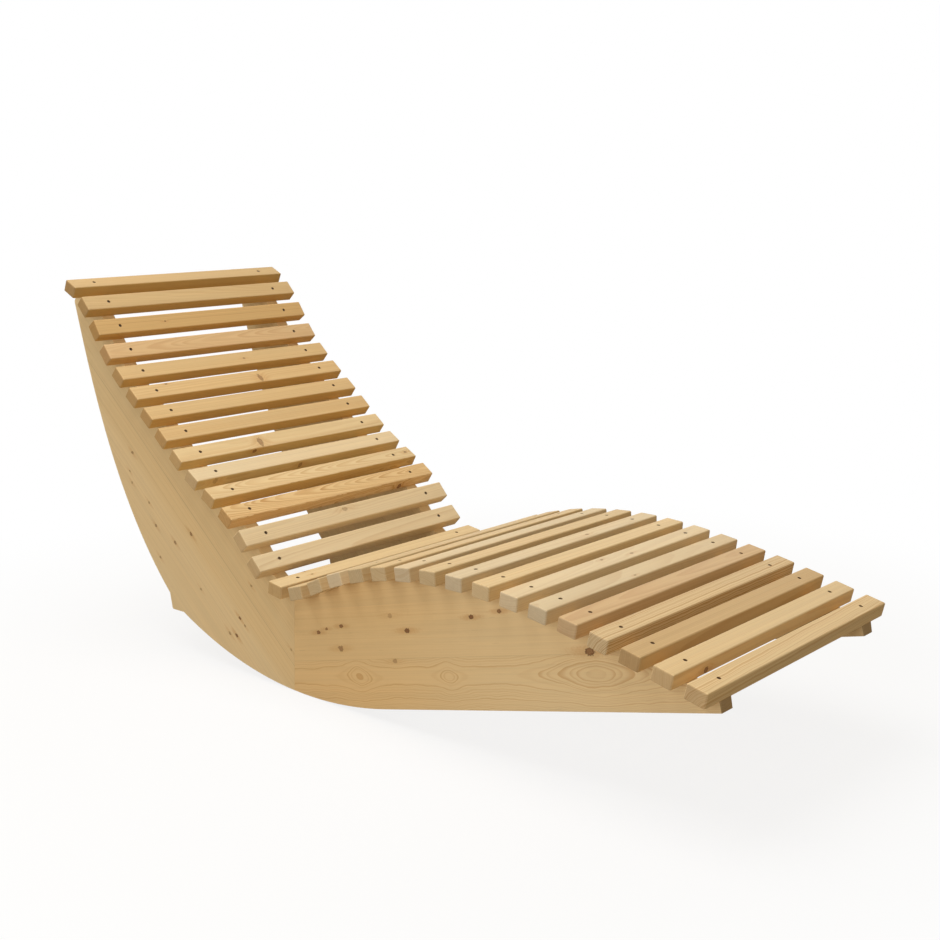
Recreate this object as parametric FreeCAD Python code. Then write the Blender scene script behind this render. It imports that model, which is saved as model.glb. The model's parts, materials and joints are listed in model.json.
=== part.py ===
import FreeCAD, Part
import math
import os

# Rocking chaise lounge of pale softwood.
# Two side panels, each of a back board and a seat board dowelled together at a seam,
# carry a row of cross slats along the line of a lying body. The underside of each panel
# is a rocker arc that runs into a flat front stretch, with a stop block at the heel.
#
# Everything is drawn first with the flat stretch on z = 0, the point where it meets the
# rocker arc at x = 0 and the foot toward +X. It is then set down as it stands empty:
# rolled back on the arc until its centre of mass is over the line of contact.

# Slats
SLAT_LENGTH = 600.0
SLAT_WIDTH = 40.0
SLAT_THICKNESS = 27.0
SLAT_TOP_RADIUS = 3.0
SLAT_UNDER_CHAMFER = 1.0
SLATS_ON_BACK = 15
SLATS_ON_SEAT = 16
HIP_STEP = 73.4
SLAT_OVERHANG = 45.0
SLAT_SEAT_DEPTH = 0.5

# Middle of the slats' thickness, seen from the side, from the head down to the calves
SLAT_LINE = [
    # head roll and neck
    (-743.5, 994.1),
    (-697.8, 949.4),
    (-669.9, 893.6),
    (-640.9, 817.6),
    # shoulders and back
    (-583.8, 724.4),
    (-510.8, 629.4),
    (-438.8, 532.4),
    # loins
    (-354.7, 447.3),
    (-292.9, 371.5),
    # hollow of the hips
    (-263.9, 311.5),
    (-223.5, 266.2),
    (-162.1, 248.0),
    # thighs and the crest under the knees
    (-61.8, 261.0),
    (77.0, 272.0),
    (245.8, 254.0),
    # calves
    (464.6, 185.1),
]

# End of that line under the heels: ahead of the front of the panels' flat stretch, and above it
FOOT_AHEAD_OF_BASE = 7.5
FOOT_HEIGHT = 31.1

# Side panels
PANEL_THICKNESS = 32.0
ROCKER_RADIUS = 952.0
ROCKER_SWEEP = 39.65
BASE_LENGTH = 773.0
HEEL_LENGTH = 42.0
HEEL_SLOPE = 13.2
HEEL_CORNER_RADIUS = 4.0
HEAD_CORNER_RADIUS = 10.0

# Rear edge of a panel, from the top of the heel to the head
REAR_EDGE = [
    (-646.0, 266.0),
    (-718.0, 420.0),
    (-768.0, 620.0),
    (-786.0, 800.0),
    (-790.0, 967.0),
]

# Seam between the back board and the seat board
SEAM_AHEAD_OF_SLAT = 9.5
SEAM_LEAN = 17.4
DOWEL_DIAMETER = 12.0
DOWEL_LENGTH = 80.0
DOWELS_PER_SEAM = 3
DOWEL_CLEARANCE = 0.15

# Screws, one through each slat into each panel
SCREW_HEAD_DIAMETER = 8.0
SCREW_HEAD_HEIGHT = 3.0
SCREW_SHANK_DIAMETER = 4.5
SCREW_LENGTH = 45.0
SCREW_POINT_LENGTH = 5.0
SCREW_RECESS = 3.0
SCREW_CLEARANCE = 0.15
PILOT_DEPTH_TO_SPARE = 1.0

# Flat sides that small round pieces and their holes are drawn with
HEAD_SIDES = 8
SHANK_SIDES = 6
DOWEL_SIDES = 8

# Densities in kg per cubic millimetre
WOOD_DENSITY = 4.5e-7
STEEL_DENSITY = 7.85e-6

SLAT_COUNT = SLATS_ON_BACK + SLATS_ON_SEAT
PANEL_OUTER_FACE = SLAT_LENGTH / 2 - SLAT_OVERHANG
PANEL_MIDDLE = PANEL_OUTER_FACE - PANEL_THICKNESS / 2
SIDES = {"left": 1, "right": -1}
ACROSS = FreeCAD.Vector(0, 1, 0)
UP = FreeCAD.Vector(0, 0, 1)


def in_profile(x, z):
    """A point of the side view, on the middle plane."""
    return FreeCAD.Vector(x, 0, z)


def spline_through(points):
    curve = Part.BSplineCurve()
    curve.interpolate(points)
    return curve


def slat_line():
    foot = (BASE_LENGTH + FOOT_AHEAD_OF_BASE, FOOT_HEIGHT)
    return spline_through([in_profile(x, z) for x, z in SLAT_LINE + [foot]])


def slat_stations(line):
    """Distances along the slat line of the slats' middles: an even pitch, but for the hips."""
    room = line.length() - SLAT_WIDTH - HIP_STEP
    pitch = room / (SLAT_COUNT - 2)
    stations = [SLAT_WIDTH / 2]
    for number in range(2, SLAT_COUNT + 1):
        stations.append(stations[-1] + (HIP_STEP if number == SLATS_ON_BACK else pitch))
    return stations


def frame_at(line, distance):
    """Point, direction and outward normal of the slat line at a distance from the head."""
    parameter = line.parameterAtDistance(distance, line.FirstParameter)
    point = line.value(parameter)
    direction = line.tangent(parameter)[0].normalize()
    return point, direction, direction.cross(ACROSS)


def seat_placement(line, distance):
    """Local x along the slat line, y across the lounge, z out of the slat's top face."""
    point, direction, _ = frame_at(line, distance)
    pitch_angle = math.degrees(math.atan2(direction.z, direction.x))
    return FreeCAD.Placement(point, FreeCAD.Rotation(ACROSS, -pitch_angle))


def ring(sides, diameter, height):
    """Closed many-sided outline about the local z axis."""
    corners = []
    for number in range(sides):
        turn = 2 * math.pi * (number + 0.5) / sides
        outward = FreeCAD.Vector(math.cos(turn), math.sin(turn), 0)
        corners.append(outward * (diameter / 2) + UP * height)
    return Part.makePolygon(corners + corners[:1])


def prism(sides, diameter, bottom, top):
    """Upright many-sided bar about the local z axis, from one height to another."""
    return Part.Face(ring(sides, diameter, bottom)).extrude(UP * (top - bottom))


def screw_heights():
    """Local heights of the screw's head top, head underside and tip, from the slat's middle."""
    head_top = SLAT_THICKNESS / 2 - SCREW_RECESS
    return head_top, head_top - SCREW_HEAD_HEIGHT, head_top - SCREW_LENGTH


def make_screw():
    head_top, head_under, tip = screw_heights()
    point_start = tip + SCREW_POINT_LENGTH
    head = prism(HEAD_SIDES, SCREW_HEAD_DIAMETER, head_under, head_top)
    shank = prism(SHANK_SIDES, SCREW_SHANK_DIAMETER, point_start, head_under)
    rim = ring(SHANK_SIDES, SCREW_SHANK_DIAMETER, point_start)
    point = Part.makeLoft([rim, Part.Vertex(0, 0, tip)], True, True)
    return head.fuse([shank, point]).removeSplitter()


def make_screw_hole():
    """Head pocket, open upward, and shank hole with room below the screw's tip."""
    _, head_under, tip = screw_heights()
    play = 2 * SCREW_CLEARANCE
    pocket = prism(HEAD_SIDES, SCREW_HEAD_DIAMETER + play, head_under, SLAT_THICKNESS)
    shank = prism(
        SHANK_SIDES, SCREW_SHANK_DIAMETER + play, tip - PILOT_DEPTH_TO_SPARE, head_under
    )
    return pocket.fuse(shank)


def slat_blank():
    corner = FreeCAD.Vector(-SLAT_WIDTH / 2, -SLAT_LENGTH / 2, -SLAT_THICKNESS / 2)
    return Part.makeBox(SLAT_WIDTH, SLAT_LENGTH, SLAT_THICKNESS, corner)


def long_edges(bar, above):
    """A bar's edges that run across the lounge, above or below its middle."""
    edges = []
    for edge in bar.Edges:
        runs_across = edge.BoundBox.YLength > SLAT_LENGTH / 2
        if runs_across and (edge.CenterOfMass.z > 0) == above:
            edges.append(edge)
    return edges


def make_slat():
    bar = slat_blank()
    bar = bar.makeFillet(SLAT_TOP_RADIUS, long_edges(bar, True))
    bar = bar.makeChamfer(SLAT_UNDER_CHAMFER, long_edges(bar, False))
    hole = make_screw_hole()
    for side in SIDES.values():
        bar = bar.cut(hole.translated(ACROSS * side * PANEL_MIDDLE))
    return bar


def slat_carrying_edge(line):
    """Upper edge of a panel: the slat line moved in by half a slat, less the slats' seats."""
    inset = SLAT_THICKNESS / 2 - SLAT_SEAT_DEPTH
    points = []
    for station in [0.0] + slat_stations(line) + [line.length()]:
        point, _, normal = frame_at(line, station)
        points.append(point - normal * inset)
    return spline_through(points)


def panel_outline(line):
    """Closed side view of one panel, from the head down the slats and back under them."""
    top = slat_carrying_edge(line).toShape()
    head = top.valueAt(top.FirstParameter)
    foot = top.valueAt(top.LastParameter)
    sweep = math.radians(ROCKER_SWEEP)

    def on_rocker(angle):
        return in_profile(-math.sin(angle), 1 - math.cos(angle)) * ROCKER_RADIUS

    base_front = in_profile(BASE_LENGTH, 0)
    tangent_point = on_rocker(0)
    rocker_end = on_rocker(sweep)
    slope = math.radians(HEEL_SLOPE)
    heel = rocker_end + in_profile(-math.cos(slope), math.sin(slope)) * HEEL_LENGTH
    rear_points = [in_profile(x, z) for x, z in REAR_EDGE]
    edges = [
        top,
        Part.makeLine(foot, base_front),
        Part.makeLine(base_front, tangent_point),
        Part.Arc(tangent_point, on_rocker(sweep / 2), rocker_end).toShape(),
        Part.makeLine(rocker_end, heel),
        Part.makeLine(heel, rear_points[0]),
        spline_through(rear_points).toShape(),
        Part.makeLine(rear_points[-1], head),
    ]
    return Part.Wire(Part.__sortEdges__(edges)), heel, rear_points[-1]


def upright_edge_at(solid, corner):
    """The panel's edge across its thickness at a corner of its side view."""
    def distance(edge):
        middle = edge.CenterOfMass
        return math.hypot(middle.x - corner.x, middle.z - corner.z)

    across = [edge for edge in solid.Edges if edge.BoundBox.YLength > PANEL_THICKNESS / 2]
    return min(across, key=distance)


def make_panel(line):
    """A whole side panel, centred on the middle plane, with a flat seat for each slat."""
    outline, heel, head = panel_outline(line)
    start = ACROSS * (-PANEL_THICKNESS / 2)
    panel = Part.Face(outline).translated(start).extrude(ACROSS * PANEL_THICKNESS)
    panel = panel.makeFillet(HEEL_CORNER_RADIUS, [upright_edge_at(panel, heel)])
    panel = panel.makeFillet(HEAD_CORNER_RADIUS, [upright_edge_at(panel, head)])
    cutters = []
    hole = make_screw_hole()
    for station in slat_stations(line):
        place = seat_placement(line, station)
        for cutter in (slat_blank(), hole):
            cutter = cutter.copy()
            cutter.Placement = place
            cutters.append(cutter)
    return panel.cut(cutters)


def seam_frame(line):
    """Placement on the seam's top: local x forward out of the seam, z up along it."""
    station = slat_stations(line)[SLATS_ON_BACK - 1] + SEAM_AHEAD_OF_SLAT
    point, _, normal = frame_at(line, station)
    top = point - normal * (SLAT_THICKNESS / 2)
    return FreeCAD.Placement(top, FreeCAD.Rotation(ACROSS, SEAM_LEAN))


def seam_length(line):
    """From the seam's top down to the rocker arc."""
    frame = seam_frame(line)
    down = frame.Rotation.multVec(UP) * -1
    from_centre = frame.Base - in_profile(0, ROCKER_RADIUS)
    along = from_centre.dot(down)
    return -along + math.sqrt(along**2 - from_centre.dot(from_centre) + ROCKER_RADIUS**2)


def dowel_placements(line):
    """Dowels square to the seam and evenly spaced down it, with local z along each."""
    frame = seam_frame(line)
    spacing = seam_length(line) / (DOWELS_PER_SEAM + 1)
    places = []
    for number in range(1, DOWELS_PER_SEAM + 1):
        down = FreeCAD.Placement(UP * (-spacing * number), FreeCAD.Rotation(ACROSS, 90))
        places.append(frame.multiply(down))
    return places


def make_dowel():
    return prism(DOWEL_SIDES, DOWEL_DIAMETER, -DOWEL_LENGTH / 2, DOWEL_LENGTH / 2)


def make_dowel_hole():
    reach = DOWEL_LENGTH / 2 + PILOT_DEPTH_TO_SPARE
    return prism(DOWEL_SIDES, DOWEL_DIAMETER + 2 * DOWEL_CLEARANCE, -reach, reach)


def placed_copies(shape, placements):
    copies = []
    for place in placements:
        copy = shape.copy()
        copy.Placement = place
        copies.append(copy)
    return copies


def split_at_seam(panel, line):
    """The back board and the seat board of one panel."""
    size = 2 * ROCKER_RADIUS
    ahead = Part.makeBox(size, size, 2 * size, FreeCAD.Vector(0, -size / 2, -size))
    ahead.Placement = seam_frame(line)
    holes = placed_copies(make_dowel_hole(), dowel_placements(line))
    drilled = panel.cut(holes)
    return drilled.cut(ahead), drilled.common(ahead)


def build_parts():
    """Every node's shape in the drawing position, by name."""
    line = slat_line()
    seats = [seat_placement(line, station) for station in slat_stations(line)]
    parts = {}
    for number, slat in enumerate(placed_copies(make_slat(), seats), start=1):
        parts[f"slat_{number:02d}"] = slat
    back_board, seat_board = split_at_seam(make_panel(line), line)
    screws = Part.makeCompound(placed_copies(make_screw(), seats))
    dowels = Part.makeCompound(placed_copies(make_dowel(), dowel_placements(line)))
    for side, sign in SIDES.items():
        offset = ACROSS * (sign * PANEL_MIDDLE)
        parts[f"back_board_{side}"] = back_board.translated(offset)
        parts[f"seat_board_{side}"] = seat_board.translated(offset)
        parts[f"seam_dowels_{side}"] = dowels.translated(offset)
        parts[f"slat_screws_{side}"] = screws.translated(offset)
    return parts


def centre_of_mass(parts):
    mass = 0.0
    moment = FreeCAD.Vector()
    for name, shape in parts.items():
        density = STEEL_DENSITY if name.startswith("slat_screws") else WOOD_DENSITY
        for solid in shape.Solids:
            mass += solid.Volume * density
            moment += solid.CenterOfMass * (solid.Volume * density)
    return mass, moment * (1 / mass)


def resting_tilt(balance):
    """Angle that the lounge rolls back on its rocker until it balances, in degrees."""
    tilt = math.degrees(math.atan2(-balance.x, ROCKER_RADIUS - balance.z))
    return min(max(tilt, 0.0), ROCKER_SWEEP)


def setting_down(parts, tilt):
    """Placement that rolls the drawing back by the tilt and centres it over the origin."""
    roll = FreeCAD.Placement(
        FreeCAD.Vector(), FreeCAD.Rotation(ACROSS, -tilt), in_profile(0, ROCKER_RADIUS)
    )
    low = math.inf
    high = -math.inf
    for shape in parts.values():
        rolled = shape.copy()
        rolled.Placement = roll.multiply(rolled.Placement)
        box = rolled.optimalBoundingBox()
        low = min(low, box.XMin)
        high = max(high, box.XMax)
    shift = FreeCAD.Placement(in_profile(-(low + high) / 2, 0), FreeCAD.Rotation())
    return shift.multiply(roll)


def main():
    os.makedirs("parts", exist_ok=True)
    parts = build_parts()
    mass, balance = centre_of_mass(parts)
    tilt = resting_tilt(balance)
    standing = setting_down(parts, tilt)
    for name, shape in parts.items():
        shape.Placement = standing.multiply(shape.Placement)
        shape.exportStep(f"parts/{name}.step")
    flat_middle = standing.multVec(in_profile(BASE_LENGTH / 2, 0))
    flat_normal = standing.Rotation.multVec(UP * -1)
    print(f"mass {mass:.2f} kg, resting tilt {tilt:.4f} degrees")
    print(f"shift {standing.multVec(in_profile(0, ROCKER_RADIUS)).x:.4f}")
    print(f"middle of the flat stretch {flat_middle}, panels at y {PANEL_MIDDLE}")
    print(f"its outward normal {flat_normal}")


main()
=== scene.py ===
import json
import math
import random

import bmesh
import bpy
from mathutils import Matrix, Vector


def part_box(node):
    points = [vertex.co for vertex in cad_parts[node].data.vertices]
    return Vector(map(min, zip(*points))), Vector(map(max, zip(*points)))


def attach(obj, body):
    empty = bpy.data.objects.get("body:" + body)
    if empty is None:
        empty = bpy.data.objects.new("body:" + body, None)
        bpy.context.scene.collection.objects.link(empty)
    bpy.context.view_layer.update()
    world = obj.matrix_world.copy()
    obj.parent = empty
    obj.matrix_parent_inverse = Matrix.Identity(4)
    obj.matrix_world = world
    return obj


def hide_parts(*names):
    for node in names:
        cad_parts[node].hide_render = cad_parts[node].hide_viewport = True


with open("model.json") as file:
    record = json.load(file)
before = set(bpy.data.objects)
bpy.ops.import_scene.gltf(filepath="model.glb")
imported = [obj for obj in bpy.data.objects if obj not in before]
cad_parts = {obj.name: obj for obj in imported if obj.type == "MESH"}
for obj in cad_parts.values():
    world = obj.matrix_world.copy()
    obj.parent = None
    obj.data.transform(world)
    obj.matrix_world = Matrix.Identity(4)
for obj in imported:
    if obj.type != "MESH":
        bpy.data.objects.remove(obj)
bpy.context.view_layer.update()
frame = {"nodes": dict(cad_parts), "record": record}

SLAT_NAMES = sorted(name for name in frame["nodes"] if name.removeprefix("slat_").isdigit())

# Sizes of the finished surfaces, in metres.
TOP_ROUNDING = 0.0030
UNDER_ROUNDING = 0.0011
RECESS_RADIUS = 0.0036
RECESS_RIM = 0.0004
RECESS_DEPTH = 0.0062
HEAD_BELOW_TOP = 0.0025
HEAD_RADIUS = 0.0035
HEAD_HEIGHT = 0.0028
HEAD_RIM = 0.0003
HEAD_DOME = 0.0001
SHANK_RADIUS = 0.0022
SHANK_LENGTH = 0.040
POINT_RADIUS = 0.0004
BOARD_ARRIS = 0.0012
# How far the screws stand from the middle of a slat.
SCREW_ACROSS = 0.239
# Half the length of the panels' flat underside.
FLAT_HALF = 0.3865
# Shorter steps than this between a board's slat seats are merged away.
SEAT_STEP = 0.0009

# Shares of a screw head: its cone's height, and its drive's margin, waist and depth.
CONE_SHARE = 0.75
DRIVE_MARGIN = 0.42
DRIVE_WAIST = 0.66
DRIVE_DEPTH = 0.5

# Corners of the round shapes.
RECESS_SIDES = 16
HEAD_SIDES = 24
SHANK_SIDES = 12
LOBES = 6

# A face looks one way when its normal has more than this of it, and points this close lie together.
FACING = 0.99
CLOSE = 1e-5
MERGE = 1e-6


# Shader maths.

class Wire:
    """A socket in a finish. Sums and products on it add Math nodes."""

    def __init__(self, finish, socket):
        self.finish = finish
        self.socket = socket

    def maths(self, operation, *values):
        return self.finish.node("ShaderNodeMath", {"operation": operation}, dict(enumerate(values)))

    def __add__(self, other):
        return self.maths("ADD", self, other)

    def __radd__(self, other):
        return self.maths("ADD", other, self)

    def __sub__(self, other):
        return self.maths("SUBTRACT", self, other)

    def __rsub__(self, other):
        return self.maths("SUBTRACT", other, self)

    def __mul__(self, other):
        return self.maths("MULTIPLY", self, other)

    def __rmul__(self, other):
        return self.maths("MULTIPLY", other, self)

    def __truediv__(self, other):
        return self.maths("DIVIDE", self, other)

    def __rtruediv__(self, other):
        return self.maths("DIVIDE", other, self)

    def __pow__(self, other):
        return self.maths("POWER", self, other)

    def __neg__(self):
        return self.maths("MULTIPLY", self, -1.0)

    def __abs__(self):
        return self.maths("ABSOLUTE", self)

    def fraction(self):
        return self.maths("FRACT", self)

    def whole(self):
        return self.maths("FLOOR", self)

    def most(self, other):
        return self.maths("MAXIMUM", self, other)

    def least(self, other):
        return self.maths("MINIMUM", self, other)

    def exponent(self):
        return self.maths("EXPONENT", self)

    def ramp(self, low, high, to_low=0.0, to_high=1.0):
        """Smoothly from to_low, where this value is low, to to_high, where it is high."""
        return self.finish.node("ShaderNodeMapRange", {"interpolation_type": "SMOOTHSTEP"},
                                {"Value": self, "From Min": low, "From Max": high,
                                 "To Min": to_low, "To Max": to_high})


class Finish:
    """The nodes of one material, or of the room round the lounger."""

    def __init__(self, owner, ending="ShaderNodeOutputMaterial"):
        self.owner = owner
        self.ending = ending
        owner.use_nodes = True
        self.tree = owner.node_tree
        self.tree.nodes.clear()

    def node(self, kind, settings=None, values=None, output=0):
        """Adds a node, sets its settings, then its inputs, and returns one of its outputs."""
        made = self.tree.nodes.new(kind)
        for name, value in (settings or {}).items():
            setattr(made, name, value)
        for key, value in (values or {}).items():
            if isinstance(value, Wire):
                self.tree.links.new(value.socket, made.inputs[key])
            else:
                made.inputs[key].default_value = value
        return Wire(self, made.outputs[output])

    def mix(self, share, first, second, blend="MIX"):
        """Colour mixed from first to second as share goes from 0 to 1."""
        return self.node("ShaderNodeMix", {"data_type": "RGBA", "blend_type": blend},
                         {0: share, 6: first, 7: second}, output=2)

    def noise(self, vector, scale, detail=2.0, roughness=0.5):
        """Smooth noise from 0 to 1 on a vector."""
        return self.node("ShaderNodeTexNoise", {}, {"Vector": vector, "Scale": scale, "Detail": detail,
                                                    "Roughness": roughness})

    def chance(self, value):
        """A number from 0 to 1 that is drawn anew for each value."""
        return self.node("ShaderNodeTexWhiteNoise", {"noise_dimensions": "1D"}, {"W": value})

    def stretched(self, vector, scale, shift=(0.0, 0.0, 0.0), turn=(0.0, 0.0, 0.0)):
        """The vector scaled, turned and shifted."""
        return self.node("ShaderNodeMapping", {"vector_type": "POINT"},
                         {"Vector": vector, "Location": shift, "Rotation": turn, "Scale": scale})

    def object_coordinates(self):
        return self.node("ShaderNodeTexCoord", output="Object")

    def parts(self, vector):
        """The vector's three numbers."""
        split = self.node("ShaderNodeSeparateXYZ", {}, {"Vector": vector})
        return [Wire(self, socket) for socket in split.socket.node.outputs]

    def seen(self):
        """1 on rays from the camera, from gloss and from glass, and 0 on the rest."""
        rays = self.node("ShaderNodeLightPath").socket.node.outputs
        seen = Wire(self, rays["Is Camera Ray"])
        for other in ("Is Glossy Ray", "Is Transmission Ray"):
            seen = seen.most(Wire(self, rays[other]))
        return seen

    def end_in(self, shader):
        """Leads a shader to the output."""
        output = self.tree.nodes.new(self.ending)
        self.tree.links.new(shader.socket, output.inputs["Surface"])

    def surface(self, values):
        """Ends the material in a Principled BSDF with these inputs."""
        self.end_in(self.node("ShaderNodeBsdfPrincipled", {}, values))


def colour(red, green, blue):
    """A colour written as 0 to 255 screen values, as the shader wants it."""
    def linear(value):
        value = value / 255
        return value / 12.92 if value <= 0.04045 else ((value + 0.055) / 1.055) ** 2.4
    return (linear(red), linear(green), linear(blue), 1.0)


# Softwood.

# Early and late wood of each tone.
TONES = {
    "straw": (colour(233, 206, 158), colour(203, 160, 104)),
    "pale": (colour(238, 216, 176), colour(212, 176, 126)),
    "honey": (colour(228, 195, 142), colour(196, 148, 90)),
    "rose": (colour(230, 196, 148), colour(200, 151, 101)),
    "amber": (colour(221, 184, 126), colour(186, 134, 76)),
    "streaky": (colour(235, 209, 162), colour(195, 149, 94)),
    "yellow_board": (colour(230, 198, 146), colour(200, 154, 96)),
    "pale_board": (colour(236, 211, 166), colour(206, 163, 110)),
}
KNOT_HEART = colour(126, 78, 42)
KNOT_RIM = colour(82, 46, 24)
KNOT_GLOW = colour(206, 156, 98)
# Painted shade laid into the screw recesses.
RECESS_PAINTED_SHADE = colour(96, 64, 38)
CLOUD_TINT = (1.0, 0.90, 0.76, 1.0)
# What the sawn ends leave of the wood's colour, and the painted shade on the head slats' front faces.
BACK_END = (0.68, 0.60, 0.50, 1.0)
SEAT_END = (0.78, 0.80, 0.88, 1.0)
FOOT_END = (0.66, 0.63, 0.64, 1.0)
BOARD_END = (0.46, 0.40, 0.34, 1.0)
# Painted shade for the front faces of the head slats.
PAINTED_FRONT_SHADE = (0.90, 0.80, 0.50, 1.0)
PLAIN = (1.0, 1.0, 1.0, 1.0)

# How tightly each pattern is packed across the grain, along it and out of the face.
FIBRES = (620.0, 9.0, 620.0)
STREAKS = (150.0, 2.2, 150.0)
CANALS = (380.0, 24.0, 380.0)
CLOUDS = (1.0, 0.22, 1.0)
CLOUD_SCALE = 9.0
STRAYING = (1.0, 0.16, 1.0)
RIPPLES = (1.0, 0.42, 1.0)
# How much each of them lightens or darkens the wood.
FIBRE_SHADE = 0.10
STREAK_SHADE = 0.16
CLOUD_SHADE = 0.10
CANAL_SHADE = 0.08

# Roughness of the slats and of the boards, and how much fibres, late wood and a sawn end change it.
SLAT_ROUGHNESS = 0.58
BOARD_ROUGHNESS = 0.60
ROUGH_FIBRES = 0.14
SMOOTH_LATE = 0.06
ROUGH_END = 0.18
# How high the fibres and the late wood stand, and how deep the canals are, as shares of the relief's metres.
FIBRE_HEIGHT = 0.5
LATE_HEIGHT = 0.5
CANAL_DEPTH = 0.4
RELIEF = 0.0003
RELIEF_STRENGTH = 0.30

# How often the pace of growth changes, per year, and by how many years it moves them.
PACE_PER_YEAR = 0.31
PACE_SHIFT = 2.4
# Where in a year the late wood starts, is full, and starts to fade before the year ends.
LATE_STARTS = 0.22
LATE_FULL = 0.86
LATE_FADES = 0.93
# The faintest late wood, as a share of the strongest.
FAINTEST_YEAR = 0.35

# How often the grain turns in a metre of a slat and of a board: in short turns, in long ones, in ripples.
SLAT_TURNS = (22.0, 6.0)
SLAT_RIPPLES = 46.0
BOARD_TURNS = (20.0, 5.0)
BOARD_RIPPLES = 42.0
# How far the years stray, in metres: in a slat sideways and in their reach, and in depth anywhere.
STRAY_ASIDE = 0.016
STRAY_REACH = 0.0022
STRAY_DEEP = 0.004

# How fast the years settle back beside a knot and along the grain, and how many years it pushes them.
SETTLE_ACROSS = 0.28
SETTLE_ALONG = 0.05
YEARS_PUSHED = 1.5
# How little a way along the grain counts in a knot and in its glow, and how deep it is for its radius.
KNOT_ALONG = 0.50
GLOW_ALONG = 0.045
KNOT_DEPTH = 1.6
# How finely and how far a knot's outline is ragged, and how many rings it has.
RAGGED_SCALE = 260.0
RAGGED = 1.3
RINGS_IN_KNOT = 2.6
# How much of the wood a knot's glow, heart, rings and rim cover, and a sawn end's tint, and a recess's
# painted shade.
GLOW_COVER = 0.55
HEART_COVER = 0.9
RINGS_COVER = 0.45
RIM_COVER = 0.85
END_COVER = 0.85
DARK_COVER = 0.9

# Width of a year in the boards, in metres.
YEAR_IN_BOARD = 0.0027
# The hearts of the logs that a board's strips come from, in metres: how far aside they lie, how they drift
# and lean along the board, and how deep the nearest lies and the rest may lie.
HEART_ASIDE = 0.30
HEART_DRIFT = 0.020
HEART_LEAN = 0.03
HEART_DEPTH = 0.03
HEART_DEEPER = 0.06
# How far on in its years the next strip is, so that no two strips carry on each other's.
STRIP_STEP = 0.37
# How strongly the years show in the faintest strip, how much more in the strongest, and in the figured one.
STRIP_STRENGTH = 0.14
STRIP_STRONGER = 0.14
FIGURE_STRENGTH = 0.66
# In the figured strip, in metres: how deep the heart lies, how that wavers, how the strip's middle ripples
# and wanders, and half the width of its soft edge.
FIGURE_DEPTH = 0.045
FIGURE_WAVER = 0.008
FIGURE_RIPPLE = 0.011
FIGURE_WANDER = 0.006
FIGURE_EDGE = 0.0003
# The power that thins a board's late wood, how light its strips differ, and how its tones' border drifts.
BOARD_LATE_POWER = 1.5
STRIP_LIGHT = 0.07
TONE_DRIFT = 0.03
# Keeps a strip's second draw apart from its first.
SECOND_DRAW = 50.0
# The glue joint wavers this far, fades in from this far off and is full this close.
GLUE_WAVER = 0.0006
GLUE_FADE = 0.0013
GLUE_FULL = 0.0002


# How far outside and inside a recess's edge its painted shade starts and is full, and how high in the slat.
DARK_STARTS = 0.0005
DARK_FULL = 0.0002
DARK_ABOVE = 0.004
# How far in from a slat's end and front and from a board's foot their colour starts, and is full.
END_STARTS = 0.0022
FRONT_STARTS = 0.0020
TINT_FULL = 0.0004
FOOT_STARTS = 0.0009
FOOT_FULL = 0.0002


def in_place(finish, place):
    """Object coordinates taken into a piece's own frame: x across the grain, y along, z out of its face."""
    turn = place.to_3x3().transposed()
    return finish.stretched(finish.object_coordinates(), (1, 1, 1), -(turn @ place.translation),
                            turn.to_euler())


def straying(finish, own, seed, short, long):
    """How the grain strays from straight, in short turns and in long ones, each from -0.5 to 0.5."""
    flow = finish.stretched(own, STRAYING, (seed, 0.37 * seed, 0.71 * seed))
    return finish.noise(flow, short, 2.0, 0.45) - 0.5, finish.noise(flow, long, 1.0) - 0.5


def late_wood(finish, reach, ring, seed):
    """Late wood from 0 to 1 at a reach from the log's heart. Years differ in width and in strength."""
    pace = finish.node("ShaderNodeTexNoise", {"noise_dimensions": "1D"},
                       {"W": reach * (PACE_PER_YEAR / ring) + seed, "Scale": 1.0, "Detail": 1.0})
    years = reach / ring + (pace - 0.5) * PACE_SHIFT
    strength = finish.chance(years.whole() + seed)
    into = years.fraction()
    soft_start = into.ramp(LATE_STARTS, LATE_FULL)
    sharp_end = into.ramp(1.0, LATE_FADES)
    return soft_start * sharp_end * (FAINTEST_YEAR + (1.0 - FAINTEST_YEAR) * strength)


def knots_in(finish, own, knots, ring):
    """Masks of the knots' heart, rim, rings and glow, and how far they push the years out round them.

    Each knot is (across, along, radius, depth of colour). In a slat its height follows, and how many times
    longer it is across the slat.
    """
    across, along, out = finish.parts(own)
    ragged = (finish.noise(own, RAGGED_SCALE) - 0.5) * RAGGED
    masks = [0.0] * 4
    push = 0.0
    for knot_across, knot_along, radius, depth, *in_slat in knots:
        spike = in_slat[1] if len(in_slat) > 1 else 1.0
        side = (across - knot_across) / (radius * spike)
        run = (along - knot_along) / radius
        if in_slat:
            sink = (out - in_slat[0]) / (radius * KNOT_DEPTH)
            side = (side * side + sink * sink) ** 0.5
        settling = side * side * SETTLE_ACROSS + run * run * SETTLE_ALONG
        push = push + (-settling).exponent() * (ring * YEARS_PUSHED)
        apart = (side * side + run * run * KNOT_ALONG) ** 0.5 + ragged
        heart = apart.ramp(1.0, 0.74) * depth
        rim = apart.ramp(0.60, 0.84) * apart.ramp(1.10, 0.92) * (depth * depth)
        rings = (apart * RINGS_IN_KNOT).fraction().ramp(0.35, 0.9) * heart
        tail = (side * side + run * run * GLOW_ALONG) ** 0.5 + ragged
        glow = tail.ramp(2.0, 0.5) * (GLOW_COVER * depth)
        masks = [new.most(old) for old, new in zip(masks, (heart, rim, rings, glow))]
    return masks, push


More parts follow.
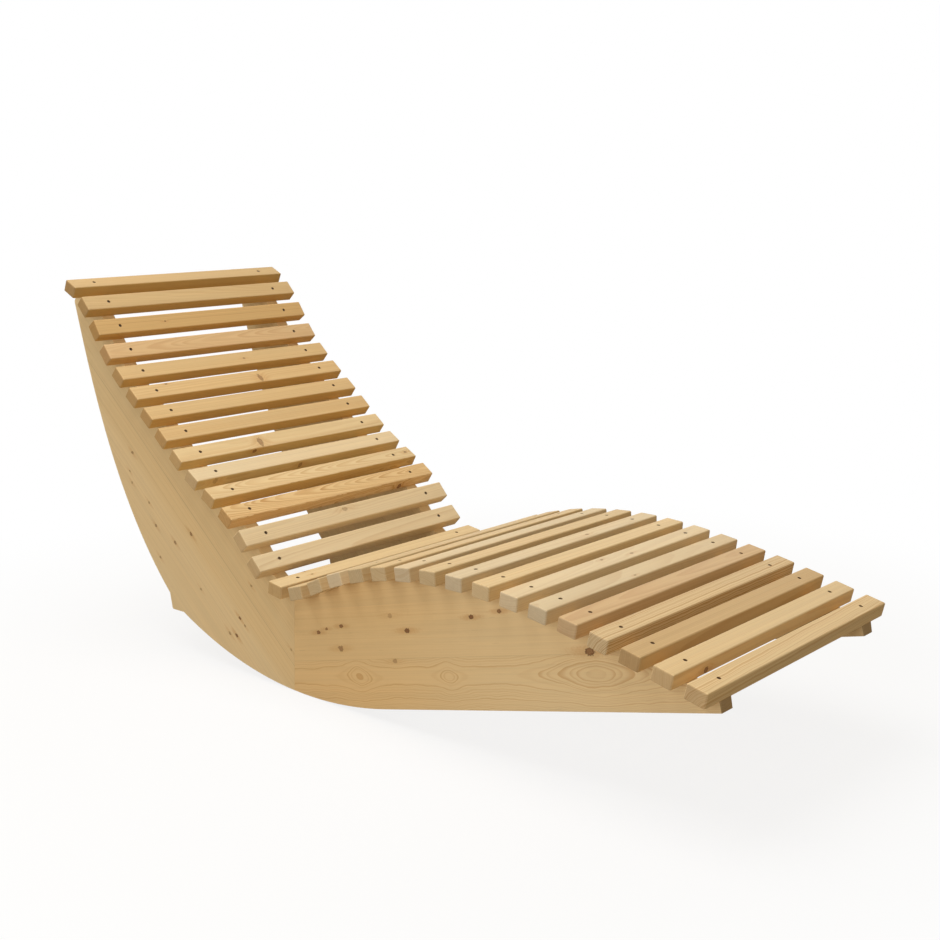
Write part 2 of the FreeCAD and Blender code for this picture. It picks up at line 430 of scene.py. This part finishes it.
def planed(finish, own, seed, late, contrast, tone, masks, roughness, light, end=None, end_tint=PLAIN,
           dark=None):
    """Ends a finish as planed wood: years, fibres, resin canals, clouds and knots, with clear satin on top.

    late is the late wood and contrast how strongly it shows, light how light the piece is for its tone,
    end where end_tint colours a sawn end or paints shade on a face, and dark where painted shade darkens a
    screw's recess.
    """
    fibre = finish.noise(finish.stretched(own, FIBRES, (seed, 0.0, 0.0)), 1.0, 3.0, 0.6) - 0.5
    streak = finish.noise(finish.stretched(own, STREAKS, (0.0, 0.0, seed)), 1.0) - 0.5
    canal = finish.noise(finish.stretched(own, CANALS, (0.0, seed, 0.0)), 1.0, 1.0).ramp(0.70, 0.78)
    cloud = finish.noise(finish.stretched(own, CLOUDS, (seed, seed, 0.0)), CLOUD_SCALE) - 0.5

    early_colour, late_colour = tone
    wood = finish.mix((late * contrast).least(1.0), early_colour, late_colour)
    wood = finish.mix(cloud.ramp(-0.2, 0.25, 0.0, 0.30), wood, CLOUD_TINT, "MULTIPLY")
    tint = 1.0 + fibre * FIBRE_SHADE + streak * STREAK_SHADE + cloud * CLOUD_SHADE - canal * CANAL_SHADE
    tint = tint * light
    grey = finish.node("ShaderNodeCombineColor", {}, {0: tint, 1: tint, 2: tint})
    wood = finish.mix(1.0, wood, grey, "MULTIPLY")
    if masks:
        heart, rim, rings, glow = masks
        wood = finish.mix(glow, wood, KNOT_GLOW)
        wood = finish.mix(heart * HEART_COVER, wood, KNOT_HEART)
        wood = finish.mix(rings * RINGS_COVER, wood, KNOT_RIM)
        wood = finish.mix(rim * RIM_COVER, wood, KNOT_RIM)
    roughness = roughness + fibre * ROUGH_FIBRES - late * SMOOTH_LATE
    if end:
        wood = finish.mix(end * END_COVER, wood, finish.mix(1.0, wood, end_tint, "MULTIPLY"))
        roughness = roughness + end * ROUGH_END
    # Painted shade inside the screw recesses.
    if dark:
        wood = finish.mix(dark * DARK_COVER, wood, RECESS_PAINTED_SHADE)

    height = fibre * FIBRE_HEIGHT + late * LATE_HEIGHT - canal * CANAL_DEPTH
    bump = finish.node("ShaderNodeBump", {}, {"Strength": RELIEF_STRENGTH, "Distance": RELIEF,
                                              "Height": height})
    finish.surface({"Base Color": wood, "Roughness": roughness, "Normal": bump, "Specular IOR Level": 0.20})
    return finish.owner


def slat_wood(name, place, size, tone, figure, seed, knots=(), light=1.0, end_tint=SEAT_END,
              front_shade=PLAIN):
    """One slat sawn from a log.

    figure holds how strongly the years show, how far they wander sideways, where the log's heart runs
    beside the slat, how it strays along it, and the width of a year.
    """
    contrast, wave, pith, lean, ring = figure
    finish = Finish(bpy.data.materials.new(name))
    own = in_place(finish, place)
    across, along, out = finish.parts(own)
    masks, push = knots_in(finish, own, knots, ring) if knots else (None, 0.0)
    wander, drift = straying(finish, own, seed, *SLAT_TURNS)
    ripple = finish.noise(finish.stretched(own, RIPPLES, (0.0, seed, seed)), SLAT_RIPPLES) - 0.5
    from_heart_x = across - pith[0] - along * lean[0] + drift * STRAY_ASIDE + ripple * wave
    from_heart_z = out - pith[1] - along * lean[1] + wander * STRAY_DEEP
    from_heart = (from_heart_x * from_heart_x + from_heart_z * from_heart_z) ** 0.5
    reach = from_heart + wander * STRAY_REACH + push
    late = late_wood(finish, reach, ring, seed)

    # Painted shade on the walls of the screw recesses.
    from_screw = abs(along) - SCREW_ACROSS
    sunk = (across * across + from_screw * from_screw) ** 0.5
    dark = sunk.ramp(RECESS_RADIUS + DARK_STARTS, RECESS_RADIUS - DARK_FULL) * out.ramp(0.0, DARK_ABOVE)
    end = abs(along).ramp(size.y / 2 - END_STARTS, size.y / 2 - TINT_FULL)
    # front is the front face: painted shade on the head slats, and a rougher surface on every slat.
    front = across.ramp(size.x / 2 - FRONT_STARTS, size.x / 2 - TINT_FULL)
    tint = finish.mix(end, finish.mix(front, PLAIN, front_shade), end_tint)
    return planed(finish, own, seed, late, contrast, TONES[tone], masks, SLAT_ROUGHNESS, light,
                  end.most(front), tint, dark)


def glued_wood(name, place, seed, joint, strip_width, paler, figure=None, knots=(), foot=None):
    """A board glued up edge to edge from strips of different logs.

    joint is where the glue joint that shows most runs, and how dark it is. paler is how the wood goes
    from a tone to pale: (tone, 0 across the board or 1 along it, where that tone ends, where it is pale).
    figure is the strip that is sawn flat, near its log's heart: (low edge, high edge, middle, eyes),
    each eye being (along, half length, rise of the heart). foot is where the board is sawn off across
    the grain.
    """
    finish = Finish(bpy.data.materials.new(name))
    own = in_place(finish, place)
    across, along = finish.parts(own)[:2]
    masks, push = knots_in(finish, own, knots, YEAR_IN_BOARD) if knots else (None, 0.0)
    wander, drift = straying(finish, own, seed, *BOARD_TURNS)

    joint_at, joint_dark = joint
    glue = abs(across - joint_at + drift * GLUE_WAVER).ramp(GLUE_FADE, GLUE_FULL) * joint_dark
    strips = (across - joint_at) / strip_width
    strip = strips.whole() + 0.5
    log = finish.chance(strip + seed)
    other = finish.chance(strip + seed + SECOND_DRAW)
    in_strip = (strips.fraction() - 0.5) * strip_width
    leaning = along * (other - 0.5) * HEART_LEAN
    side = in_strip + (log - 0.5) * HEART_ASIDE + drift * HEART_DRIFT + leaning
    deep = HEART_DEPTH + other * HEART_DEEPER + wander * STRAY_DEEP
    reach = (side * side + deep * deep) ** 0.5 + strip * STRIP_STEP + push
    strength = STRIP_STRENGTH + log * STRIP_STRONGER
    if figure:
        low, high, middle, eyes = figure
        heart = FIGURE_DEPTH + (drift + wander) * FIGURE_WAVER
        for at, half, rise in eyes:
            gap = (along - at) / half
            heart = heart - rise / (1.0 + gap * gap)
        ripple = finish.noise(finish.stretched(own, RIPPLES, (0.0, seed, 0.0)), BOARD_RIPPLES) - 0.5
        level = across - middle + ripple * FIGURE_RIPPLE + wander * FIGURE_WANDER
        flat_reach = (level * level + heart * heart) ** 0.5 + push
        within = (across.ramp(low - FIGURE_EDGE, low + FIGURE_EDGE)
                  * across.ramp(high + FIGURE_EDGE, high - FIGURE_EDGE))
        reach = reach + (flat_reach - reach) * within
        strength = strength + (FIGURE_STRENGTH - strength) * within
    late = late_wood(finish, reach, YEAR_IN_BOARD, seed) ** BOARD_LATE_POWER
    end = along.ramp(foot - FOOT_STARTS, foot - FOOT_FULL) if foot else None
    tone, axis, tone_ends, pale_starts = paler
    pale = ((across, along)[axis] + drift * TONE_DRIFT).ramp(tone_ends, pale_starts)
    tones = [finish.mix(pale, *pair) for pair in zip(TONES[tone], TONES["pale_board"])]
    light = 1.0 + (other - 0.5) * STRIP_LIGHT - glue
    return planed(finish, own, seed, late * strength, 1.0, tones, masks, BOARD_ROUGHNESS, light, end,
                  BOARD_END)


def dull_steel():
    """Plated screw steel, a little stained."""
    finish = Finish(bpy.data.materials.new("screw_steel_finish"))
    stain = finish.noise(finish.object_coordinates(), 900.0)
    base = finish.mix(stain, colour(100, 76, 56), colour(60, 45, 34))
    finish.surface({"Base Color": base, "Metallic": 0.4, "Roughness": stain * 0.2 + 0.5})
    return finish.owner


# Pieces.

def finished(bm, name, finish, stands_for, sharp=0.6):
    """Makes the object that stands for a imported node, in place, with its finish.

    sharp is the angle in radians past which an edge stays crisp.
    """
    mesh = bpy.data.meshes.new(name)
    bm.to_mesh(mesh)
    bm.free()
    mesh.materials.append(finish)
    mesh.shade_smooth()
    mesh.set_sharp_from_angle(angle=sharp)
    piece = bpy.data.objects.new(name, mesh)
    bpy.context.scene.collection.objects.link(piece)
    even = piece.modifiers.new("even_faces", "WEIGHTED_NORMAL")
    even.keep_sharp = True
    even.weight = 100
    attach(piece, "root")
    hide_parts(*stands_for)


def slat_place(name):
    """The slat's own frame: x across it, y along it, z out of its upper face; and its size."""
    mesh = frame["nodes"][name].data
    areas = {}
    for polygon in mesh.polygons:
        normal = polygon.normal
        looks_up = normal.z > 0.2
        looks_along = abs(normal.y) >= 0.01
        if looks_up and not looks_along:
            key = (round(normal.x, 3), round(normal.z, 3))
            areas[key] = areas.get(key, 0.0) + polygon.area
    best = max(areas, key=areas.get)
    up = Vector((best[0], 0.0, best[1])).normalized()
    along = Vector((0.0, 1.0, 0.0))
    across = along.cross(up)
    turn = Matrix((across, along, up)).transposed()
    own = [turn.transposed() @ vertex.co for vertex in mesh.vertices]
    low = Vector(min(p[i] for p in own) for i in range(3))
    high = Vector(max(p[i] for p in own) for i in range(3))
    place = turn.to_4x4()
    place.translation = turn @ ((low + high) / 2)
    return place, high - low


def bevelled(bm, edges, offset, segments):
    bmesh.ops.bevel(bm, geom=edges, offset=offset, offset_type="OFFSET", segments=segments, profile=0.5,
                    affect="EDGES", clamp_overlap=True, material=-1)


def grown_verts(grown):
    """The vertices among what an extrusion has made."""
    return [g for g in grown if isinstance(g, bmesh.types.BMVert)]


def reaches_round(face, y):
    """Whether the face reaches past the point at y on the slat's middle line, on every side."""
    return (min(v.co.y for v in face.verts) < y < max(v.co.y for v in face.verts)
            and min(v.co.x for v in face.verts) < 0 < max(v.co.x for v in face.verts))


def recess(bm, y, top):
    """Sinks a screw's round recess into the upper face at y."""
    half = RECESS_RADIUS * 2
    for point, normal in (((0, y - half, 0), (0, 1, 0)), ((0, y + half, 0), (0, 1, 0)),
                          ((-half, 0, 0), (1, 0, 0)), ((half, 0, 0), (1, 0, 0))):
        face = next(f for f in bm.faces if f.normal.z > FACING and reaches_round(f, y)
                    and abs(f.calc_center_median().z - top) < CLOSE)
        bmesh.ops.bisect_plane(bm, geom=[face, *face.edges, *face.verts], plane_co=point, plane_no=normal)
        bm.normal_update()
    face = min((f for f in bm.faces if f.normal.z > FACING),
               key=lambda f: (f.calc_center_median() - Vector((0, y, top))).length)
    edges = list(face.edges)
    bmesh.ops.delete(bm, geom=[face], context="FACES_ONLY")
    bmesh.ops.subdivide_edges(bm, edges=edges, cuts=RECESS_SIDES // 4 - 1)
    around = [e for e in bm.edges if e.is_boundary]
    rim = bmesh.ops.create_circle(bm, cap_ends=False, segments=RECESS_SIDES,
                                  radius=RECESS_RADIUS + RECESS_RIM,
                                  matrix=Matrix.Translation((0, y, top)))["verts"]
    rim_edges = list(dict.fromkeys(e for v in rim for e in v.link_edges))
    bmesh.ops.bridge_loops(bm, edges=around + rim_edges)
    for scale, down in ((RECESS_RADIUS / (RECESS_RADIUS + RECESS_RIM), RECESS_RIM), (1.0, RECESS_DEPTH)):
        grown = bmesh.ops.extrude_edge_only(bm, edges=rim_edges)["geom"]
        rim_edges = [g for g in grown if isinstance(g, bmesh.types.BMEdge)]
        verts = grown_verts(grown)
        bmesh.ops.translate(bm, verts=verts, vec=(0, 0, -down))
        bmesh.ops.scale(bm, verts=verts, vec=(scale, scale, 1), space=Matrix.Translation((0, -y, 0)))
    bmesh.ops.contextual_create(bm, geom=rim_edges)


def make_slat(name, finish):
    place, size = SLAT_PLACES[name]
    top = size.z / 2
    bm = bmesh.new()
    bmesh.ops.create_cube(bm, size=1.0, matrix=Matrix.Diagonal((size.x, size.y, size.z, 1.0)))
    bevelled(bm, [e for e in bm.edges if max(v.co.z for v in e.verts) > 0], TOP_ROUNDING, 4)
    bevelled(bm, [e for e in bm.edges if max(v.co.z for v in e.verts) < CLOSE - top], UNDER_ROUNDING, 3)
    bm.normal_update()
    for y in (-SCREW_ACROSS, SCREW_ACROSS):
        recess(bm, y, top)
    bmesh.ops.recalc_face_normals(bm, faces=bm.faces)
    bmesh.ops.transform(bm, matrix=place, verts=bm.verts)
    finished(bm, name + "_planed", finish, [name])


def make_board(name, finish):
    """The board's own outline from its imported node, thickened again with its arrises eased."""
    low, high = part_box(name)
    bm = bmesh.new()
    bm.from_mesh(frame["nodes"][name].data)
    bmesh.ops.remove_doubles(bm, verts=bm.verts, dist=MERGE)
    bm.normal_update()
    rest = [f for f in bm.faces if f.normal.y > -FACING or f.calc_center_median().y > low.y + CLOSE]
    bmesh.ops.delete(bm, geom=rest, context="FACES")
    bmesh.ops.dissolve_faces(bm, faces=bm.faces[:])
    bmesh.ops.remove_doubles(bm, verts=bm.verts, dist=SEAT_STEP)
    grown = bmesh.ops.extrude_face_region(bm, geom=bm.faces[:], use_keep_orig=True)["geom"]
    bmesh.ops.translate(bm, verts=grown_verts(grown), vec=(0, high.y - low.y, 0))
    bmesh.ops.recalc_face_normals(bm, faces=bm.faces)
    rims = [e for e in bm.edges if abs(e.verts[0].co.y - e.verts[1].co.y) < CLOSE]
    bevelled(bm, rims, BOARD_ARRIS, 3)
    bmesh.ops.recalc_face_normals(bm, faces=bm.faces)
    finished(bm, name + "_planed", finish, [name], sharp=0.5)


def make_screw(bm, place):
    """A countersunk screw with a six-lobed drive, standing along the slat frame's -z from place."""
    start = set(bm.verts)
    cone_middle = Matrix.Translation((0, 0, -HEAD_HEIGHT * (1.0 - CONE_SHARE / 2)))
    bmesh.ops.create_cone(bm, cap_ends=True, segments=HEAD_SIDES, radius1=SHANK_RADIUS,
                          radius2=HEAD_RADIUS, depth=HEAD_HEIGHT * CONE_SHARE, matrix=cone_middle)
    cone = [v for v in bm.verts if v not in start]
    bm.normal_update()
    top = next(f for v in cone for f in v.link_faces if f.normal.z > FACING)
    grown = bmesh.ops.extrude_face_region(bm, geom=[top])["geom"]
    bmesh.ops.translate(bm, verts=grown_verts(grown), vec=(0, 0, HEAD_HEIGHT * (1.0 - CONE_SHARE)))
    bm.normal_update()
    top = next(g for g in grown if isinstance(g, bmesh.types.BMFace))
    bmesh.ops.inset_region(bm, faces=[top], thickness=HEAD_RIM, depth=0.0)
    bmesh.ops.translate(bm, verts=top.verts[:], vec=(0, 0, HEAD_DOME))
    bmesh.ops.inset_region(bm, faces=[top], thickness=HEAD_RADIUS * DRIVE_MARGIN, depth=0.0)
    waists = [v for i, v in enumerate(top.verts) if i % (HEAD_SIDES // LOBES) in (0, 1)]
    bmesh.ops.scale(bm, verts=waists, vec=(DRIVE_WAIST, DRIVE_WAIST, 1.0))
    pit = bmesh.ops.extrude_discrete_faces(bm, faces=[top])["faces"][0]
    bmesh.ops.translate(bm, verts=pit.verts[:], vec=(0, 0, -HEAD_HEIGHT * DRIVE_DEPTH))
    shank_middle = Matrix.Translation((0, 0, -HEAD_HEIGHT - SHANK_LENGTH / 2))
    bmesh.ops.create_cone(bm, cap_ends=True, segments=SHANK_SIDES, radius1=POINT_RADIUS,
                          radius2=SHANK_RADIUS, depth=SHANK_LENGTH, matrix=shank_middle)
    bmesh.ops.transform(bm, matrix=place, verts=[v for v in bm.verts if v not in start])


def make_screws(side, sign, finish):
    bm = bmesh.new()
    for place, size in SLAT_PLACES.values():
        make_screw(bm, place @ Matrix.Translation((0, sign * SCREW_ACROSS, size.z / 2 - HEAD_BELOW_TOP)))
    bmesh.ops.recalc_face_normals(bm, faces=bm.faces)
    finished(bm, "screws_" + side, finish, ["slat_screws_" + side], sharp=0.5)


def flat_place():
    """Frame of the panels' flat underside: x up from it, y toward the foot, the origin at its middle."""
    mount = next(m for m in frame["record"]["mounts"] if m["name"] == "floor_flat_right")
    up = -Vector(mount["axis"])
    out = Vector((0.0, 1.0, 0.0))
    along = out.cross(up)
    place = Matrix((up, along, out)).transposed().to_4x4()
    place.translation = Vector((mount["pos_m"][0], 0.0, mount["pos_m"][2]))
    return place


SLAT_PLACES = {name: slat_place(name) for name in SLAT_NAMES}
SLATS_ON_BACK = 15
# The first slats' front faces get painted shade, and the last slats' ends are darker.
SHADE_PAINTED_FRONTS = 11
FIRST_FOOT_SLAT = 29
# Tone of each slat, from the head to the foot.
SLAT_TONES = ("honey honey amber rose honey honey honey honey straw pale straw honey pale pale straw "
              "straw straw pale straw straw pale straw pale straw pale pale rose streaky honey straw "
              "straw").split()
# How light each slat is for its tone, from the head to the foot.
SLAT_LIGHT = (0.81, 0.86, 0.97, 0.94, 0.93, 0.96, 0.95, 0.97, 1.00, 0.98, 1.00, 1.06, 0.99, 0.96, 0.97,
              0.88, 0.90, 0.98, 0.87, 0.90, 0.88, 0.91, 0.90, 1.00, 0.97, 0.90, 0.92, 0.96, 0.88, 1.05, 1.06)
# The slats whose figure shows: how strong the years are, how far they wander, heart, lean and year.
SLAT_FIGURE = {
    4: (0.40, 0.005, (-0.004, -0.014), (-0.010, 0.036), 0.0022),
    11: (0.64, 0.005, (-0.004, -0.014), (0.010, 0.044), 0.0020),
    12: (0.95, 0.006, (-0.006, -0.012), (0.014, 0.052), 0.0020),
    28: (0.95, 0.005, (0.070, -0.035), (0.004, 0.010), 0.0030),
    31: (0.70, 0.005, (0.050, -0.030), (-0.006, 0.020), 0.0031),
}
DOWEL_FIGURE = (0.2, 0.0, (0.01, 0.0), (0.0, 0.0), 0.003)
# Knots on the slats: across, along, radius, depth of colour, height, and how many times longer across.
SLAT_KNOTS = {
    3: [(0.000, -0.118, 0.0022, 0.7, 0.0135)],
    5: [(0.001, 0.044, 0.0026, 0.5, 0.0135)],
    6: [(0.006, 0.050, 0.0040, 0.55, 0.0135, 3.0), (-0.015, -0.206, 0.0024, 0.7, 0.0135)],
    9: [(0.004, -0.076, 0.0045, 0.55, 0.0135, 3.2), (0.020, -0.100, 0.0040, 0.7, 0.0060)],
    10: [(0.020, -0.251, 0.0050, 0.3, 0.0040), (0.020, -0.012, 0.0042, 0.5, 0.0)],
    11: [(-0.001, 0.279, 0.0030, 0.7, 0.0135)],
    12: [(0.020, 0.195, 0.0046, 0.8, -0.0043)],
    13: [(-0.009, -0.011, 0.0055, 0.35, 0.0135)],
    15: [(-0.018, -0.208, 0.0030, 0.7, 0.0135), (0.003, -0.203, 0.0024, 0.6, 0.0135)],
    23: [(0.004, 0.082, 0.0030, 0.6, 0.0135)],
    25: [(0.005, 0.050, 0.0030, 0.55, 0.0135), (-0.008, -0.027, 0.0030, 0.5, 0.0135)],
    26: [(0.012, -0.038, 0.0022, 0.6, 0.0135)],
    30: [(0.020, -0.201, 0.0040, 0.7, -0.0060)],
}
# Knots on the near boards: up from the flat or across the back's grain, along it, radius and depth.
SEAT_KNOTS = [
    (0.1575, -0.539, 0.0040, 0.8), (0.164, -0.512, 0.0030, 0.7), (0.168, -0.466, 0.0038, 0.8),
    (0.123, -0.480, 0.0055, 0.6), (0.153, -0.280, 0.0050, 0.9), (0.172, -0.107, 0.0042, 0.9),
    (0.180, -0.036, 0.0038, 0.8), (0.095, -0.330, 0.0045, 0.4), (0.183, -0.319, 0.0045, 0.35),
    (0.104, 0.150, 0.0074, 0.8),
]
BACK_KNOTS = [
    (0.515, 1.107, 0.0034, 0.6), (0.559, 1.090, 0.0024, 0.5), (0.575, 1.069, 0.0026, 0.5),
    (0.564, 0.996, 0.0026, 0.5), (0.589, 0.948, 0.0032, 0.6), (0.565, 0.876, 0.0034, 0.6),
    (0.638, 0.894, 0.0028, 0.5), (0.503, 0.848, 0.0038, 0.7), (0.580, 0.751, 0.0028, 0.4),
    (0.524, 0.624, 0.0032, 0.9), (0.524, 0.603, 0.0028, 0.5), (0.565, 0.608, 0.0034, 0.9),
    (0.580, 0.626, 0.0034, 0.5), (0.434, 0.642, 0.0026, 0.5), (0.443, 0.475, 0.0026, 0.4),
]
# Glue joint, strip width and change of tone of the boards, and the figured strip of the near seat board.
SEAT_JOINT = (0.100, 0.07)
SEAT_STRIPS = 0.105
SEAT_PALER = ("yellow_board", 1, -0.45, 0.15)
SEAT_FIGURE = (-0.005, 0.100, 0.066, [(0.153, 0.085, 0.020), (-0.192, 0.028, 0.008), (-0.440, 0.034, 0.010)])
BACK_JOINT = (0.463, 0.18)
BACK_STRIPS = 0.060
BACK_PALER = ("straw", 0, 0.500, 0.545)
BACK_GRAIN_ANGLE = math.radians(-126.0)


def plain_figure():
    """Draws the figure of a slat with nothing special to show. Its heart lies above, below or beside it."""
    side = random.choice((-1, 1))
    pith = (random.uniform(-0.03, 0.03), side * random.uniform(0.02, 0.09))
    if random.random() < 0.4:
        pith = (side * random.uniform(0.03, 0.10), random.uniform(-0.02, 0.02))
    lean = (random.uniform(-0.02, 0.02), random.uniform(-0.025, 0.025))
    return random.uniform(0.25, 0.45), 0.001, pith, lean, random.uniform(0.0026, 0.0044)


random.seed(31)
for number, (name, (place, size)) in enumerate(SLAT_PLACES.items(), start=1):
    plain = plain_figure()
    end_tint = BACK_END if number <= SLATS_ON_BACK else SEAT_END if number < FIRST_FOOT_SLAT else FOOT_END
    wood = slat_wood(name + "_finish", place, size, SLAT_TONES[number - 1], SLAT_FIGURE.get(number, plain),
                     random.uniform(0.0, 40.0), SLAT_KNOTS.get(number, ()), SLAT_LIGHT[number - 1],
                     end_tint, PAINTED_FRONT_SHADE if number <= SHADE_PAINTED_FRONTS else PLAIN)
    make_slat(name, wood)

seat_place = flat_place()
back_place = seat_place @ Matrix.Rotation(BACK_GRAIN_ANGLE, 4, "Z")
for side, seed in (("left", 17.0), ("right", 3.0)):
    near = side == "right"
    name = "seat_board_" + side
    make_board(name, glued_wood(name + "_finish", seat_place, seed, SEAT_JOINT, SEAT_STRIPS, SEAT_PALER,
                                SEAT_FIGURE if near else None, SEAT_KNOTS if near else (), FLAT_HALF))
    name = "back_board_" + side
    make_board(name, glued_wood(name + "_finish", back_place, seed + 7.0, BACK_JOINT, BACK_STRIPS,
                                BACK_PALER, None, BACK_KNOTS if near else ()))

steel = dull_steel()
for side, sign in (("left", 1), ("right", -1)):
    make_screws(side, sign, steel)
    name = "seam_dowels_" + side
    low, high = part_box(name)
    middle = Matrix.Translation((low + high) / 2)
    beech = slat_wood(name + "_finish", middle, high - low, "honey", DOWEL_FIGURE, 7.0)
    materials = frame["nodes"][name].data.materials
    materials.clear()
    materials.append(beech)


# Floor, light and camera.

WHITE = (1.0, 1.0, 1.0, 1.0)
FLOOR_HALF = 30.0
FLOOR_DROP = 0.0006
# The floor as the camera sees it, and as it throws light back on the lounger.
FLOOR_SEEN = (0.96, 0.96, 0.96, 1.0)
FLOOR_BOUNCE = (0.34, 0.285, 0.20, 1.0)
# How white the floor is near the lounger, where it keeps the shadow, and how far out that holds and ends.
NEAR_WHITE = 0.83
SHADOW_HOLDS = 0.8
SHADOW_ENDS = 1.8
ROOM_COLOUR = (1.0, 0.87, 0.66, 1.0)
ROOM_STRENGTH = 0.36
# Name, diameter, power and place of each soft lamp, and what they all aim at.
LAMPS = [
    ("overhead", 2.6, 63.5, (-0.6, -0.7, 3.2)),
    ("side", 2.2, 33.0, (1.0, -3.3, 1.1)),
    ("far_side", 2.4, 16.0, (-0.6, 3.4, 0.9)),
]
LAMP_AIM = Vector((0.0, 0.0, 0.3))
# The camera: the picture's width and the focal length in pixels, the sensor's width in millimetres, its
# place, and the directions of the picture's right, down and ahead.
PICTURE_WIDTH = 940
FOCAL_LENGTH = 1339.83
SENSOR_WIDTH = 36.0
CAMERA_PLACE = (1.90108, -1.94901, 1.00166)
RIGHT = Vector((0.740968, 0.671342, -0.016317))
DOWN = Vector((0.123257, -0.159844, -0.979417))
AHEAD = Vector((-0.660132, 0.723705, -0.201187))


def make_floor():
    bm = bmesh.new()
    bmesh.ops.create_grid(bm, x_segments=1, y_segments=1, size=FLOOR_HALF)
    bmesh.ops.translate(bm, verts=bm.verts, vec=(0, 0, -FLOOR_DROP))
    mesh = bpy.data.meshes.new("floor")
    bm.to_mesh(mesh)
    bm.free()
    floor = bpy.data.objects.new("floor", mesh)
    bpy.context.scene.collection.objects.link(floor)
    finish = Finish(bpy.data.materials.new("floor_finish"))
    seen = finish.seen()
    reach = finish.node("ShaderNodeVectorMath", {"operation": "LENGTH"},
                        {0: finish.object_coordinates()}, output="Value")
    matt = finish.node("ShaderNodeBsdfDiffuse", {}, {"Color": finish.mix(seen, FLOOR_BOUNCE, FLOOR_SEEN)})
    white = finish.node("ShaderNodeEmission", {}, {"Color": WHITE, "Strength": 1.0})
    share = reach.ramp(SHADOW_HOLDS, SHADOW_ENDS, NEAR_WHITE, 1.0) * seen
    finish.end_in(finish.node("ShaderNodeMixShader", {}, {0: share, 1: matt, 2: white}))
    mesh.materials.append(finish.owner)


def make_light():
    world = bpy.data.worlds.new("soft_room")
    bpy.context.scene.world = world
    room = Finish(world, "ShaderNodeOutputWorld")
    soft = room.node("ShaderNodeBackground", {}, {"Color": ROOM_COLOUR, "Strength": ROOM_STRENGTH})
    white = room.node("ShaderNodeBackground", {}, {"Color": WHITE, "Strength": 1.0})
    room.end_in(room.node("ShaderNodeMixShader", {}, {0: room.seen(), 1: soft, 2: white}))

    for name, size, energy, place in LAMPS:
        lamp = bpy.data.lights.new(name, "AREA")
        lamp.shape = "DISK"
        lamp.size = size
        lamp.energy = energy
        holder = bpy.data.objects.new(name, lamp)
        bpy.context.scene.collection.objects.link(holder)
        holder.location = place
        holder.rotation_euler = (LAMP_AIM - holder.location).to_track_quat("-Z", "Y").to_euler()


def make_camera():
    data = bpy.data.cameras.new("camera")
    data.sensor_width = SENSOR_WIDTH
    data.lens = FOCAL_LENGTH / PICTURE_WIDTH * SENSOR_WIDTH
    data.clip_start = 0.05
    data.clip_end = 200.0
    camera = bpy.data.objects.new("camera", data)
    bpy.context.scene.collection.objects.link(camera)
    turn = Matrix((RIGHT, -DOWN, -AHEAD)).transposed().to_4x4()
    camera.matrix_world = Matrix.Translation(CAMERA_PLACE) @ turn
    bpy.context.scene.camera = camera


make_floor()
make_light()
make_camera()
bpy.context.scene.view_settings.view_transform = "Standard"
